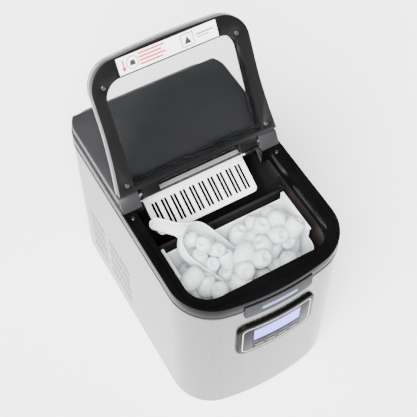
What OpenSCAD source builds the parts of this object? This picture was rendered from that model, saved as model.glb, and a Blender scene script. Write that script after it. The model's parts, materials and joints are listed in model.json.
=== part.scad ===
// Countertop ice maker. Front is -Y, up is +Z, origin on the table under the body's middle.

/* [Body] */
// Width of the steel body
body_w = 242; // [210:1:290]
// Depth of the steel body, from bowed front to flat back
body_d = 378; // [350:1:450]
// Height of the steel body's top edge above the table
body_top = 267; // [255:1:320]
// Corner radius at the front
front_r = 61; // [45:1:70]
// Corner radius at the back
rear_r = 38; // [25:1:45]
// Radius of the shallow bow across the front
bow_r = 365; // [320:5:800]
// Thickness of the steel sheet
sheet = 0.8; // [0.6:0.1:1.2]
// Height of the rubber feet
foot_h = 9; // [6:1:14]
// Radius of the rubber feet
foot_r = 13; // [9:1:16]

/* [Top] */
// Height of the moulded frame that caps the steel
frame_h = 20; // [16:1:26]
// Height of the rear cover above the frame
cover_h = 18; // [16:1:20]
// Wall of the mouldings
wall = 2.5; // [2:0.1:3]
// Half width of the ice opening
mouth_hw = 103; // [92:1:104]
// Distance of the ice opening's front edge from the body's front
mouth_front = 28; // [24:1:40]
// Radius of the ice opening's front corners
mouth_r = 33; // [20:1:40]
// Depth of the seat that the lid drops into
seat_depth = 2.5; // [1.5:0.1:3]

/* [Lid] */
// Angle that the lid stands open
lid_open = 119.3; // [90:0.1:122]
// Thickness of the closed lid
lid_t = 19.5; // [17:0.5:20]
// Gap round the lid in its seat
lid_gap = 0.9; // [0.6:0.1:1.5]
// Half width of the window
window_hw = 95; // [70:1:97]
// Width of the lid's front rail, from its edge to the window
lid_rail = 28; // [18:1:34]
// Radius of the hinge pins
pin_r = 3; // [2:0.1:3.4]
// Radius of the hinge barrel round the pins
barrel_r = 7; // [6:0.1:7.5]
// Running clearance round pins and shafts
pin_gap = 0.05; // [0.03:0.01:0.09]

/* [Control panel] */
// Width of the control panel
panel_w = 118; // [108:1:124]
// Height of the control panel
panel_h = 74; // [66:1:84]
// Height of the panel's middle above the table
panel_z = 188; // [178:1:194]
// How far the panel stands out
panel_t = 4.5; // [3:0.1:6]
// Width of the display
lcd_w = 71; // [50:1:76]
// Height of the display
lcd_h = 27; // [18:1:30]
// Width of each button
button_w = 13; // [9:0.5:14]
// Height of each button
button_h = 5.5; // [4:0.5:7]
// Travel of each button
button_travel = 1.2; // [0.8:0.1:1.3]
// Clearance round each button
button_gap = 0.3; // [0.2:0.05:0.5]

/* [Ice and water] */
// Half width of the basket's rim
basket_hw = 95; // [84:1:98]
// Height of the basket's raised sides
basket_side_h = 77; // [60:1:84]
// Height of the basket's front and back
basket_end_h = 57; // [40:1:58]
// Wall of the basket
basket_wall = 2; // [1.6:0.1:3]
// Length of the shovel plate from its pivot to its edge
shovel_l = 55; // [45:1:58]
// Slope of the shovel plate at rest
shovel_slope = 26; // [20:1:32]
// Half width of the shovel plate
shovel_hw = 78; // [70:1:80]
// Pairs of slots in the shovel plate
slot_pairs = 10; // [6:1:10]
// Half width of the water tray
tray_hw = 76; // [70:1:80]
// Depth of the water tray
tray_h = 32; // [24:1:32]
// Radius of each freezing finger
finger_r = 6; // [4:0.5:7]

/* [Machinery] */
// Radius of the compressor's shell
compressor_r = 46; // [38:1:47]
// Height of the compressor's shell
compressor_h = 116; // [95:1:117]
// Radius of the fan's blades
fan_r = 48; // [36:1:50]
// Radius of the hoses
hose_r = 3.5; // [3:0.1:4]

/* [Hidden] */

$fn = 64;
eps = 0.01;
big = 600;

// Outline of the body
hw = body_w / 2;
hd = body_d / 2;
corner_x = hw - front_r;
bow_y = bow_r - hd;
corner_y = bow_y - sqrt(pow(bow_r - front_r, 2) - pow(corner_x, 2));

// Levels, from the table up
pan_z = foot_h;
pan_t = 1.2;
pan_top = pan_z + pan_t;
frame_top = body_top + frame_h;
seat_z = frame_top - seat_depth;
cover_top = frame_top + cover_h;
collar_z = body_top - 5;
deck_t = 3;
proud = 0.6;
skirt_h = 9;
skin_in = sheet + 0.2;
skirt_wall = 2;

// Lid, as it lies closed
lid_seat_gap = 0.5;
lid_z0 = seat_z + lid_seat_gap;
lid_z1 = lid_z0 + lid_t;
lid_end_y = 2.5;
end_gap = 0.5;
lid_top_end_y = 0;
lid_front_inset = 13.5;
lid_front = -hd + lid_front_inset;
lid_bow = 2.5;
lid_hw = hw - 10;
lid_flare = 7.5;
lid_flare_l = 102;
lid_corner_r = 38;
shell_t = 3.5;
glazing_t = 2.5;
trim_t = 2;
trim_w = 3;
frame_z1 = lid_z1 - shell_t - glazing_t;
glazing_margin = 8;
hinge_y = 16;
hinge_z = frame_top + 9.3;
cheek_x = 92;
cheek_end = hw - 5;
arm_x = [62, 88];
arm_z0 = hinge_z - 6.5;
pin_x = [arm_x[0] + 2, cheek_end - 3];
recess_y = 31;
cheek_front_y = 4;
cheek_slope_run = 12;
rear_slope = 14;
step = 0.3;

// Tank
tank_wall = 2;
tank_hw = mouth_hw - 1;
tank_front = -hd + mouth_front + 1;
tank_back = 125;
tank_top = collar_z;
basin_z = 115;
shelf_y = 30;
shelf_z = 148;
foam = 6;
foam_z = basin_z - tank_wall - foam;

// Basket
basket_front = tank_front + 9;
basket_back = -46;
basket_z = 178;
basket_step_y = -118;
basket_side_back = basket_back - 3;
rim_w = 2;
ledge_t = 6;
ledge_gap = 0.3;

// Shovel, tray and evaporator
shovel_y = 36;
shovel_z = 251;
shovel_barrel_r = 3.2;
shovel_pin_r = 2.5;
shovel_t = 2.6;
slot_w = 4;
slot_l = 38;
slot_bar = 1.3;
slot_pitch = 14.6;
slot_from_pivot = 9.5;
shovel_corner_r = 7;
tray_front = 38;
tray_back = 96;
tray_z = 190;
tray_top = tray_z + tray_h;
tray_wall = 2;
tray_axis_y = 99;
tray_axis_z = tray_top - 2;
tray_pin_r = 3;
boss_x = 84;
side_gap = 0.5;
tube_r = 5;
tube_z = 245;
tube_y = [52, 80];
finger_pitch = 30;
finger_len = 36;
rail_y = [33, 39];
rail_z = [256, 264];
cover_plate_z = 258;

// Machinery
machine_z = pan_top;
comp_x = 38;
comp_y = 118;
comp_z = machine_z + 12;
cond_x = [-116, -93];
cond_y = [36, 150];
cond_z = [28, 136];
fan_y = 93;
fan_z = 82;
shroud_x = -90;
shroud_t = 2.5;
shaft_r = 2.5;
pump_x = -60;
pump_y = -40;
pump_base = machine_z;
volute_z = [70, 92];
volute_r = 24;
volute_wall = 3;
impeller_r = 18;
inlet_r = 6;
hose_x = -(tank_hw + tank_wall + foam + 6.2);
hose_z = 229.5;
hose_back_y = 60;
drain_x = 70;
drain_z = 33;
drain_r = 5;
drain_tank = [92, -5];
inlet_x = -60;
inlet_z = 40;
inlet_size = [30, 24];
box_lo = [8, -132, machine_z];
box_size = [92, 84, 38];
box_wall = 2;
panel_margin = 6;
rear_open_hw = hw - rear_r - 3;
rear_open_z = [24, body_top - 20];
motor_size = [13, 34, 30];
motor_x = tank_hw + tank_wall + 2;
drier_at = [-28, 60, 60];
valve_lo = [100, 60, machine_z];
valve_hi = [114, 80, machine_z + 52];
plug_r = 4.4;
plug_head_r = 8;

// Vents, screws and label
vent_slot = [20, 2.2];
vent_pitch = [26, 6];
vent_groups = [[9, 80], [88, 140]];
vent_z = [38, 142];
frame_screw = [hw - 10.5, -4];
label_size = [139, 22];

// Control panel
lcd_dz = 7;
panel_corner = 14;
face_d = -panel_t;
board_y = -hd + 5.5;
badge_w = 101;
badge_z = body_top - 18;
badge_top = body_top + 9;
badge_light_z = body_top - 5;

// Scoop, with its neck and the end of its handle
scoop_neck = [-61.5, -50, 279];
scoop_turn = -49;
scoop_dip = 38;
scoop_hw = 28;
scoop_l = 82;
scoop_depth = 27;
scoop_wall = 1.8;
handle_end = [-89.5, -10.5, 268.5];
handle_hw = 8.6;
handle_t = 6;

// Colours
steel_colour = "#c9c9c7";
black_colour = "#242424";
grey_colour = "#4a4a4c";
white_colour = "#eef0f0";
copper_colour = "#b5704a";

// ---------- Shared shapes ----------

// Outline of the body moved in by d: bowed front, round corners, flat back
module footprint(d = 0) {
    reach = bow_r - d;
    run = [corner_x, corner_y - bow_y] / (bow_r - front_r);
    far = 1.1;
    for (side = [-1, 1]) {
        translate([side * corner_x, corner_y])
            circle(front_r - d, $fn = 128);
        translate([side * (hw - rear_r), hd - rear_r])
            circle(rear_r - d, $fn = 96);
    }
    translate([-hw + d, corner_y])
        square([body_w - 2 * d, hd - rear_r - corner_y]);
    translate([-hw + rear_r, 0])
        square([body_w - 2 * rear_r, hd - d]);
    intersection() {
        translate([0, bow_y])
            circle(reach, $fn = 360);
        polygon([
            [0, bow_y],
            [-run[0] * reach * far, bow_y + run[1] * reach * far],
            [run[0] * reach * far, bow_y + run[1] * reach * far],
        ]);
    }
}

module body_slab(d, z0, z1) {
    translate([0, 0, z0])
        linear_extrude(z1 - z0)
            footprint(d);
}

// Upright wall between two insets of the body's outline
module body_ring(d0, d1, z0, z1) {
    translate([0, 0, z0])
        linear_extrude(z1 - z0)
            difference() {
                footprint(d0);
                footprint(d1);
            }
}

// Rectangle with round corners, centred
module round_rect(w, h, r) {
    square([w - 2 * r, h], center = true);
    square([w, h - 2 * r], center = true);
    for (x = [-1, 1], y = [-1, 1])
        translate([x * (w / 2 - r), y * (h / 2 - r)])
            circle(r);
}

// Slot with round ends along Y, centred
module slot2d(l, w) {
    square([w, l - w], center = true);
    for (y = [-1, 1])
        translate([0, y * (l - w) / 2])
            circle(w / 2);
}

// Rectangle whose front (-Y) corners are round
module bay2d(half_w, y0, y1, r) {
    translate([-half_w, y0 + r])
        square([2 * half_w, y1 - y0 - r]);
    translate([-half_w + r, y0])
        square([2 * (half_w - r), r + eps]);
    for (side = [-1, 1])
        translate([side * (half_w - r), y0 + r])
            circle(r, $fn = 96);
}

// Part of the skin between insets d0 and d1 of the front, behind a shape drawn on the front
module front_skin(d0, d1, z0, z1) {
    intersection() {
        body_ring(d0, d1, z0, z1);
        rotate([90, 0, 0])
            linear_extrude(big)
                children();
    }
}

// Cylinder from point a to point b
module rod(a, b, r) {
    v = b - a;
    l = norm(v);
    translate(a)
        rotate([0, acos(v[2] / l), atan2(v[1], v[0])])
            cylinder(h = l, r = r);
}

function unit(v) = v / norm(v);

// Quarter bend or less at p, between the directions u in and w out
module elbow(p, u, w, r, bend) {
    angle = acos(u * w);
    n = unit(w - u * (u * w));
    c = p - u * bend * tan(angle / 2) + n * bend;
    z = cross(-n, u);
    multmatrix([
        [-n[0], u[0], z[0], c[0]],
        [-n[1], u[1], z[1], c[1]],
        [-n[2], u[2], z[2], c[2]],
        [0, 0, 0, 1],
    ])
        rotate_extrude(angle = angle)
            translate([bend, 0])
                circle(r);
}

// Tube through a list of points, with a round bend at each
module bent_tube(points, r, bend) {
    last = len(points) - 1;
    dirs = [for (i = [0:last - 1]) unit(points[i + 1] - points[i])];
    cut = [
        for (i = [0:last])
            i == 0 || i == last ? 0 : bend * tan(acos(dirs[i - 1] * dirs[i]) / 2)
    ];
    for (i = [0:last - 1])
        rod(points[i] + dirs[i] * cut[i], points[i + 1] - dirs[i] * cut[i + 1], r);
    for (i = [1:1:last - 1])
        elbow(points[i], dirs[i - 1], dirs[i], r, bend);
}

module x_cylinder(x0, x1, y, z, r) {
    translate([x0, y, z])
        rotate([0, 90, 0])
            cylinder(h = x1 - x0, r = r);
}

module y_cylinder(y0, y1, x, z, r) {
    translate([x, y1, z])
        rotate([90, 0, 0])
            cylinder(h = y1 - y0, r = r);
}

module box(lo, hi) {
    translate(lo)
        cube(hi - lo);
}

// ---------- Body ----------

module base_pan() {
    color(steel_colour)
        difference() {
            body_slab(skin_in, pan_z, pan_top + 6);
            body_slab(skin_in + 1, pan_top, pan_top + 7);
            for (x = [-1, 1], y = [-1, 1])
                translate([x * foot_x(), y * foot_y(), 0])
                    cylinder(h = pan_top + 1, r = 3);
            for (y = [-120:14:-36])
                translate([40, y, 0])
                    linear_extrude(pan_top + 1)
                        round_rect(60, 5, 2.4);
        }
}

function foot_x() = hw - 34;
function foot_y() = hd - 44;

module rubber_feet() {
    color("#2b2b2b")
        for (x = [-1, 1], y = [-1, 1])
            translate([x * foot_x(), y * foot_y(), 0]) {
                cylinder(h = foot_h, r1 = foot_r - 1.5, r2 = foot_r);
                translate([0, 0, foot_h - eps])
                    cylinder(h = pan_t + 3, r = 3);
            }
}

// Rows of short upright slots through a side wall
module side_vents(side) {
    for (g = vent_groups, y = [g[0] + 3:vent_pitch[1]:g[1] - 3])
        for (z = [vent_z[0] + vent_slot[0] / 2:vent_pitch[0]:vent_z[1] - vent_slot[0] / 2])
            translate([side * (hw - 5), y, z])
                rotate([90, 0, 90])
                    translate([0, 0, side > 0 ? 0 : -10])
                        linear_extrude(10)
                            slot2d(vent_slot[0], vent_slot[1]);
}

module outer_casing() {
    color(steel_colour)
        difference() {
            body_ring(0, sheet, pan_z, body_top);
            side_vents(-1);
            side_vents(1);
            box([-rear_open_hw, 0, rear_open_z[0]], [rear_open_hw, hd + 1, rear_open_z[1]]);
            for (p = casing_screw_points())
                y_cylinder(hd - 9, hd + 1, p[0], p[1], 1.6);
            rotate([90, 0, 0])
                linear_extrude(big)
                    lcd_hole2d(1.5);
            translate([0, 0, button_row_z()])
                rotate([90, 0, 0])
                    linear_extrude(big)
                        square([button_x(3) * 2 + button_w + 7, button_h + 7], center = true);
        }
}

module rear_panel() {
    y0 = hd - sheet - 1.2;
    color("#8f9092")
        difference() {
            box([-rear_open_hw - 3, y0, rear_open_z[0] - 7],
                [rear_open_hw + 3, hd - sheet, rear_open_z[1] + 7]);
            for (x = [-60:12:60], z = [90:30:180])
                translate([x, y0 - 1, z])
                    rotate([-90, 0, 0])
                        linear_extrude(4)
                            slot2d(22, 4);
            y_cylinder(y0 - 1, hd, drain_x, drain_z, drain_r + 4);
            box([inlet_x - inlet_size[0] / 2, y0 - 1, inlet_z - inlet_size[1] / 2],
                [inlet_x + inlet_size[0] / 2, hd, inlet_z + inlet_size[1] / 2]);
            for (p = casing_screw_points())
                y_cylinder(y0 - 1, hd, p[0], p[1], 1.6);
        }
}

function casing_screw_points() = [
    for (x = [-1, 1], z = [rear_open_z[0] - 3.5, rear_open_z[1] + 3.5])
        [x * (rear_open_hw - 4), z]
];

module casing_screws() {
    color("#b8b8b8")
        for (p = casing_screw_points()) {
            y_cylinder(hd - 6, hd, p[0], p[1], 1.6);
            translate([p[0], hd, p[1]])
                rotate([-90, 0, 0])
                    cylinder(h = 1.6, r1 = 3.4, r2 = 2.4);
        }
}

// Opening over the ice, with a narrower bay back to the hinge recess
module mouth2d(d = 0) {
    bay2d(mouth_hw + d, -hd + mouth_front - d, lid_end_y + end_gap + d, mouth_r + d);
    translate([-cheek_x + 1 - d, 0])
        square([2 * (cheek_x - 1 + d), recess_y + d]);
}

module top_frame() {
    color(black_colour)
        difference() {
            union() {
                body_ring(-proud, wall, body_top, frame_top);
                body_ring(skin_in, skin_in + skirt_wall, body_top - skirt_h, body_top + eps);
                body_slab(wall - eps, seat_z - deck_t, frame_top);
                translate([0, 0, collar_z])
                    linear_extrude(seat_z - collar_z)
                        mouth2d(wall);
            }
            translate([0, 0, collar_z - 1])
                linear_extrude(big)
                    mouth2d(0);
            translate([0, 0, seat_z])
                linear_extrude(big)
                    intersection() {
                        lid_outline(-lid_gap, lid_end_y + end_gap);
                        translate([-hw, -hd])
                            square([body_w, hd + lid_end_y + end_gap]);
                    }
            box([-mouth_hw, shelf_y - 2, collar_z - 1], [mouth_hw, recess_y + 5, seat_z - deck_t]);
            for (side = [-1, 1])
                translate([side * frame_screw[0], frame_screw[1], seat_z - 2])
                    cylinder(h = 10, r = 4);
        }
}

module frame_screws() {
    color("#c8c8c8")
        for (side = [-1, 1])
            translate([side * frame_screw[0], frame_screw[1], seat_z - 2])
                cylinder(h = 1.5, r1 = 3, r2 = 2.6);
}

module frame_trim() {
    color("#77787a")
        body_ring(-proud - 0.5, 0, body_top - 2.5, body_top);
}

// Cover behind the lid; its cheeks reach forward on both sides and hold the hinge pins
module cover_shape(d, z0, z1) {
    rise = (z1 - frame_top) / cover_h;
    intersection() {
        body_slab(1.5 + d, z0, z1);
        rotate([90, 0, 90])
            translate([0, 0, -big / 2])
                linear_extrude(big)
                    polygon([
                        [cheek_front_y + d, frame_top],
                        [hd - 1.5 - d, frame_top],
                        [hd - 1.5 - rear_slope * rise - d, z1],
                        [cheek_front_y + cheek_slope_run * rise + d, z1],
                    ]);
    }
}

module rear_top_cover() {
    color(grey_colour)
        difference() {
            hull() {
                cover_shape(0, frame_top, cover_top - 1.5);
                cover_shape(1.5, frame_top, cover_top);
            }
            box([-cheek_x, -10, frame_top - 1], [cheek_x, recess_y, cover_top + 5]);
            difference() {
                translate([0, 0, -1])
                    cover_shape(wall, frame_top - 1, cover_top - wall + 1);
                box([-cheek_x - wall, -10, 0], [cheek_x + wall, recess_y + wall, big]);
                for (side = [-1, 1])
                    box([side > 0 ? cheek_x - 1 : -hw, 0, 0],
                        [side > 0 ? hw : -cheek_x + 1, recess_y + wall, big]);
            }
            x_cylinder(-hw, hw, hinge_y, hinge_z, pin_r);
        }
}

module cover_trim() {
    color("#d8d8d8")
        intersection() {
            body_ring(-0.2, 1.5, frame_top, frame_top + 1.2);
            box([-hw - 1, cheek_front_y + 1.5, 0], [hw + 1, hd + 1, big]);
        }
}

module hinge_pins() {
    color("#9a9a9a")
        for (side = [-1, 1])
            x_cylinder(side > 0 ? pin_x[0] : -pin_x[1], side > 0 ? pin_x[1] : -pin_x[0],
                hinge_y, hinge_z, pin_r);
}

// ---------- Lid ----------

// Turns what is drawn closed to where it stands open
module opened() {
    translate([0, hinge_y, hinge_z])
        rotate([-lid_open, 0, 0])
            translate([0, -hinge_y, -hinge_z])
                children();
}

// Half width of the lid at y: straight in front, flaring towards the hinge
function lid_half(y) = lid_hw + lid_flare * pow(max(0, 1 - (lid_end_y - y) / lid_flare_l), 1.8);

// Outline of the lid moved in by d, closed end at y_end
module lid_outline(d = 0, y_end = lid_end_y) {
    y_side = lid_front + lid_corner_r + 6;
    side_n = 12;
    corner = [
        for (a = [0:7.5:90])
            let (r = lid_corner_r - d, c = [lid_hw - lid_corner_r, lid_front + lid_corner_r + 2])
                [c[0] + r * cos(a), c[1] - r * sin(a)]
    ];
    front_half = [lid_hw - lid_corner_r, lid_front + 2 + d];
    right = concat(
        [[0, lid_front - lid_bow + 2 + d]],
        [[front_half[0] / 2, lid_front - lid_bow * 0.75 + 2 + d]],
        [for (i = [len(corner) - 1:-1:0]) corner[i]],
        [
            for (i = [0:side_n])
                let (y = y_side + (y_end - y_side) * i / side_n)
                    [lid_half(y) - d, y]
        ]
    );
    left = [for (i = [len(right) - 1:-1:1]) [-right[i][0], right[i][1]]];
    polygon(concat(right, left));
}

// Window opening grown by d
module window2d(d = 0) {
    bay2d(window_hw + d, lid_front + lid_rail - d, -4 + d, 25);
}

module lid_ring(z0, z1, d_out, d_in, y_end) {
    translate([0, 0, z0])
        linear_extrude(z1 - z0)
            difference() {
                lid_outline(d_out, y_end);
                window2d(d_in);
            }
}

module lid_outer_shell() {
    color(grey_colour)
        opened()
            difference() {
                union() {
                    lid_ring(lid_z1 - 1.2, lid_z1, 1.4, -1, lid_top_end_y);
                    lid_ring(lid_z1 - shell_t, lid_z1 - 1.2 + eps, 0, -1, lid_top_end_y);
                    translate([0, 0, frame_z1])
                        linear_extrude(glazing_t + eps)
                            difference() {
                                lid_outline(0, lid_top_end_y);
                                lid_outline(glazing_margin - 1, lid_top_end_y - 3);
                            }
                }
            }
}

module lid_inner_frame() {
    color(black_colour)
        opened()
            difference() {
                union() {
                    lid_ring(lid_z0, frame_z1 - trim_t, 0, 0, lid_end_y);
                    lid_ring(frame_z1 - trim_t - eps, frame_z1, trim_w, 0, lid_end_y - 1);
                    for (side = [-1, 1])
                        box([side > 0 ? arm_x[0] : -arm_x[1], lid_end_y - 4, arm_z0],
                            [side > 0 ? arm_x[1] : -arm_x[0], hinge_y, frame_z1]);
                    for (side = [-1, 1])
                        x_cylinder(side > 0 ? arm_x[0] : -arm_x[1],
                            side > 0 ? arm_x[1] : -arm_x[0], hinge_y, hinge_z, barrel_r);
                }
                x_cylinder(-hw, hw, hinge_y, hinge_z, pin_r + pin_gap);
                translate([0, lid_front + lid_rail - 13, lid_z0 - eps])
                    linear_extrude(0.3)
                        square([label_size[0] + 0.4, label_size[1] + 0.4], center = true);
                for (p = lid_screw_points())
                    translate([p[0], p[1], lid_z0 - 1])
                        cylinder(h = 2.5, r = 3.4);
            }
}

function lid_screw_points() = [
    [-94, lid_front + 32], [94, lid_front + 32], [-104.5, -9], [104.5, -9]
];

module lid_window() {
    color([0.75, 0.78, 0.8, 0.35])
        opened()
            translate([0, 0, frame_z1])
                linear_extrude(glazing_t)
                    lid_outline(glazing_margin, lid_top_end_y - 4);
}

module lid_trim() {
    color("#c8c8c8")
        opened()
            translate([0, 0, frame_z1 - trim_t])
                linear_extrude(trim_t)
                    difference() {
                        lid_outline(-0.3, lid_end_y - 1);
                        lid_outline(trim_w, lid_end_y);
                    }
}

module lid_screws() {
    color("#9c9c9c")
        opened()
            for (p = lid_screw_points())
                translate([p[0], p[1], lid_z0 + 0.2])
                    cylinder(h = 1.3, r1 = 2.6, r2 = 3);
}

module lid_label() {
    color("#f4f4f4")
        opened()
            translate([0, lid_front + lid_rail - 13, lid_z0])
                linear_extrude(0.29)
                    square(label_size, center = true);
}

// ---------- Control panel ----------

function button_x(i) = -27 + 18 * i;
function button_row_z() = panel_z - 22;

module lcd_hole2d(g) {
    translate([0, panel_z + lcd_dz])
        square([lcd_w + 2 * g, lcd_h + 2 * g], center = true);
}

module panel_housing() {
    color(black_colour)
        difference() {
            union() {
                front_skin(face_d, 0, 0, big)
                    translate([0, panel_z])
                        round_rect(panel_w - 2, panel_h - 2, panel_corner - 1);
                front_skin(face_d + 1, 0, 0, big)
                    translate([0, panel_z])
                        round_rect(panel_w, panel_h, panel_corner);
            }
            rotate([90, 0, 0])
                linear_extrude(big)
                    lcd_hole2d(0);
            for (i = [0:3])
                translate([button_x(i), 0, button_row_z()])
                    rotate([90, 0, 0])
                        linear_extrude(big)
                            square([button_w + 2 * button_gap, button_h + 2 * button_gap],
                                center = true);
        }
}

module panel_border() {
    color("#cfcfcf")
        front_skin(face_d - 0.3, face_d, 0, big)
            translate([0, panel_z])
                difference() {
                    round_rect(panel_w - 13, panel_h - 13, 8);
                    round_rect(panel_w - 15.4, panel_h - 15.4, 7);
                }
}

module lcd_display() {
    color("#cdd0ff")
        intersection() {
            body_slab(face_d + 0.4, 0, big);
            rotate([90, 0, 0])
                translate([0, 0, -board_y])
                    linear_extrude(big)
                        lcd_hole2d(0);
        }
}

module display_board() {
    color("#2f6b3c")
        box([-45, board_y, panel_z - 28], [45, board_y + 1.6, panel_z + 26]);
}

module button(i) {
    cap = [button_w, button_h];
    color("#3a3a3c") {
        intersection() {
            body_slab(face_d - 0.5, 0, big);
            translate([button_x(i), 0, button_row_z()])
                rotate([90, 0, 0])
                    translate([0, 0, hd - 1.2])
                        linear_extrude(big)
                            round_rect(cap[0], cap[1], 1.2);
        }
        translate([button_x(i), -hd + 1.6, button_row_z()])
            cube([cap[0] - 2, 2.4, cap[1] - 2], center = true);
    }
}

// Outline of the strip that drops from the frame over the steel
module badge2d() {
    translate([0, body_top - 3])
        round_rect(badge_w, 2 * (body_top - 3 - badge_z), 6);
}

module badge_strip() {
    color("#56585a")
        difference() {
            union() {
                front_skin(-2.4, 0, 0, body_top - 2.5)
                    badge2d();
                front_skin(-2.4, -1.2, body_top - 2.5 - eps, badge_top)
                    badge2d();
            }
            front_skin(-3, -1.2, 0, big)
                light2d();
        }
}

module light2d() {
    translate([0, badge_light_z])
        round_rect(52, 6.4, 2);
}

module badge_light() {
    color("#7ea6ff")
        front_skin(-2.6, -1.2, 0, big)
            light2d();
}

// ---------- Tank, ice and water ----------

// Space inside the tank, grown by d
module tank_space(d = 0) {
    translate([0, 0, basin_z - d])
        linear_extrude(shelf_z - basin_z + eps)
            bay2d(tank_hw + d, tank_front - d, shelf_y + d, mouth_r + d);
    translate([0, 0, shelf_z - d])
        linear_extrude(tank_top - shelf_z + d + (d > 0 ? 0 : 1))
            bay2d(tank_hw + d, tank_front - d, tank_back + d, mouth_r + d);
}

module pivot_bosses(y, z, r, reach) {
    for (side = [-1, 1])
        x_cylinder(side > 0 ? reach : -tank_hw - eps, side > 0 ? tank_hw + eps : -reach, y, z, r);
}

module inner_tank() {
    color("#2e2e30")
        difference() {
            union() {
                difference() {
                    tank_space(tank_wall);
                    tank_space(0);
                }
                pivot_bosses(shovel_y, shovel_z, shovel_pin_r + 2.1, boss_x);
                pivot_bosses(tray_axis_y, tray_axis_z, tray_pin_r + 3, boss_x);
                for (side = [-1, 1])
                    box([side > 0 ? basket_hw - 4 : -tank_hw - eps, basket_front + 20,
                            basket_z - ledge_gap - ledge_t],
                        [side > 0 ? tank_hw + eps : -basket_hw + 4, basket_back - 6,
                            basket_z - ledge_gap]);
                translate([pump_x, pump_y, basin_z - tank_wall - 9])
                    cylinder(h = 10, r = inlet_r);
                translate([drain_tank[0], drain_tank[1], basin_z - tank_wall - 9])
                    cylinder(h = 10, r = inlet_r);
            }
            x_cylinder(-hw, hw, shovel_y, shovel_z, shovel_pin_r + pin_gap);
            x_cylinder(-hw, hw, tray_axis_y, tray_axis_z, tray_pin_r + pin_gap);
            x_cylinder(-hw, 0, hose_back_y, hose_z, hose_r);
            translate([pump_x, pump_y, 0])
                cylinder(h = basin_z + 1, r = inlet_r - 2);
            translate([drain_tank[0], drain_tank[1], 0])
                cylinder(h = basin_z + 1, r = inlet_r - 2);
            for (y = tube_y)
                y_cylinder(tank_back - 1, tank_back + 5, lead_x(y), tube_z, tube_r);
        }
}

function lead_x(y) = y == tube_y[0] ? 84 : 70;

module tank_divider() {
    color(grey_colour)
        difference() {
            box([-tank_hw, -35, basin_z], [tank_hw, -31, 234]);
            for (x = [-80:20:80])
                translate([x, 0, 150])
                    rotate([90, 0, 0])
                        linear_extrude(50)
                            slot2d(46, 8);
        }
}

module tank_insulation() {
    y1 = shelf_y + tank_wall - 4;
    color("#1c1c1c")
        difference() {
            translate([0, 0, foam_z])
                linear_extrude(body_top - skirt_h - 1 - foam_z)
                    bay2d(tank_hw + tank_wall + foam, tank_front - tank_wall - foam, y1,
                        mouth_r + tank_wall + foam);
            translate([0, 0, basin_z - tank_wall])
                linear_extrude(big)
                    bay2d(tank_hw + tank_wall, tank_front - tank_wall, y1 + 1,
                        mouth_r + tank_wall);
            translate([pump_x, pump_y, 0])
                cylinder(h = basin_z, r = inlet_r + 2.5);
            translate([drain_tank[0], drain_tank[1], 0])
                cylinder(h = basin_z, r = inlet_r + 2.5);
        }
}

// Inside of the basket, grown by d
module basket_space(d = 0) {
    z1 = basket_z + basket_side_h + (d > 0 ? 0 : 1);
    translate([0, 0, basket_z + basket_wall - d])
        linear_extrude(z1 - basket_z - basket_wall + d)
            bay2d(basket_hw - rim_w - basket_wall + d, basket_front + basket_wall - d,
                basket_back - basket_wall + d, 26 + d);
}

module ice_basket() {
    end_top = basket_z + basket_end_h;
    side_top = basket_z + basket_side_h;
    color(white_colour)
        difference() {
            union() {
                basket_space(basket_wall);
                for (side = [-1, 1])
                    box([side > 0 ? basket_hw - rim_w - eps : -basket_hw, basket_step_y,
                            side_top - 2.5],
                        [side > 0 ? basket_hw : -basket_hw + rim_w + eps, basket_side_back,
                            side_top]);
            }
            basket_space(0);
            box([-big, basket_front - 10, end_top], [big, basket_step_y, big]);
            box([-big, basket_side_back, end_top], [big, basket_back + 10, big]);
            for (x = [-72:12:72], y = [-118, -78])
                translate([x, y, basket_z - 1])
                    linear_extrude(basket_wall + 2)
                        slot2d(28, 4);
        }
}

// Bowl of the scoop: x runs from the neck down along its open top, z is out of it
module scoop_bowl(d) {
    hull() {
        translate([24 + d, 0, -scoop_depth + d])
            cylinder(h = eps, r = 15 - d, $fn = 40);
        translate([scoop_l + 1, 0, -scoop_depth + d + 4])
            cube([eps, 2 * (15 - d), eps], center = true);
        for (side = [-1, 1]) {
            translate([22, side * (scoop_hw - 20), d > 0 ? 1 : 0])
                cylinder(h = eps, r = 20 - d, $fn = 40);
            translate([scoop_l * 0.6, side * (scoop_hw - 12), d > 0 ? 1 : 0])
                cylinder(h = eps, r = 12 - d, $fn = 40);
        }
        translate([scoop_l + 1, 0, -scoop_depth * 0.55])
            cube([eps, 2 * (22 - d), eps], center = true);
    }
}

module ice_scoop() {
    v = handle_end - scoop_neck;
    flat_l = norm([v[0], v[1]]);
    color(white_colour) {
        translate(scoop_neck)
            rotate([0, scoop_dip, scoop_turn])
                difference() {
                    scoop_bowl(0);
                    scoop_bowl(scoop_wall);
                }
        translate(scoop_neck)
            rotate([0, 0, atan2(v[1], v[0])])
                rotate([0, -atan2(v[2], flat_l), 0])
                    translate([-5, 0, -handle_t])
                        linear_extrude(handle_t)
                            translate([(norm(v) + 5) / 2, 0])
                                round_rect(norm(v) + 5, 2 * handle_hw, 5);
    }
}

// Turns the shovel's own plane, along -Y from the pivot, to its slope
module shovel_place() {
    translate([0, shovel_y, shovel_z])
        rotate([shovel_slope, 0, 0])
            children();
}

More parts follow.
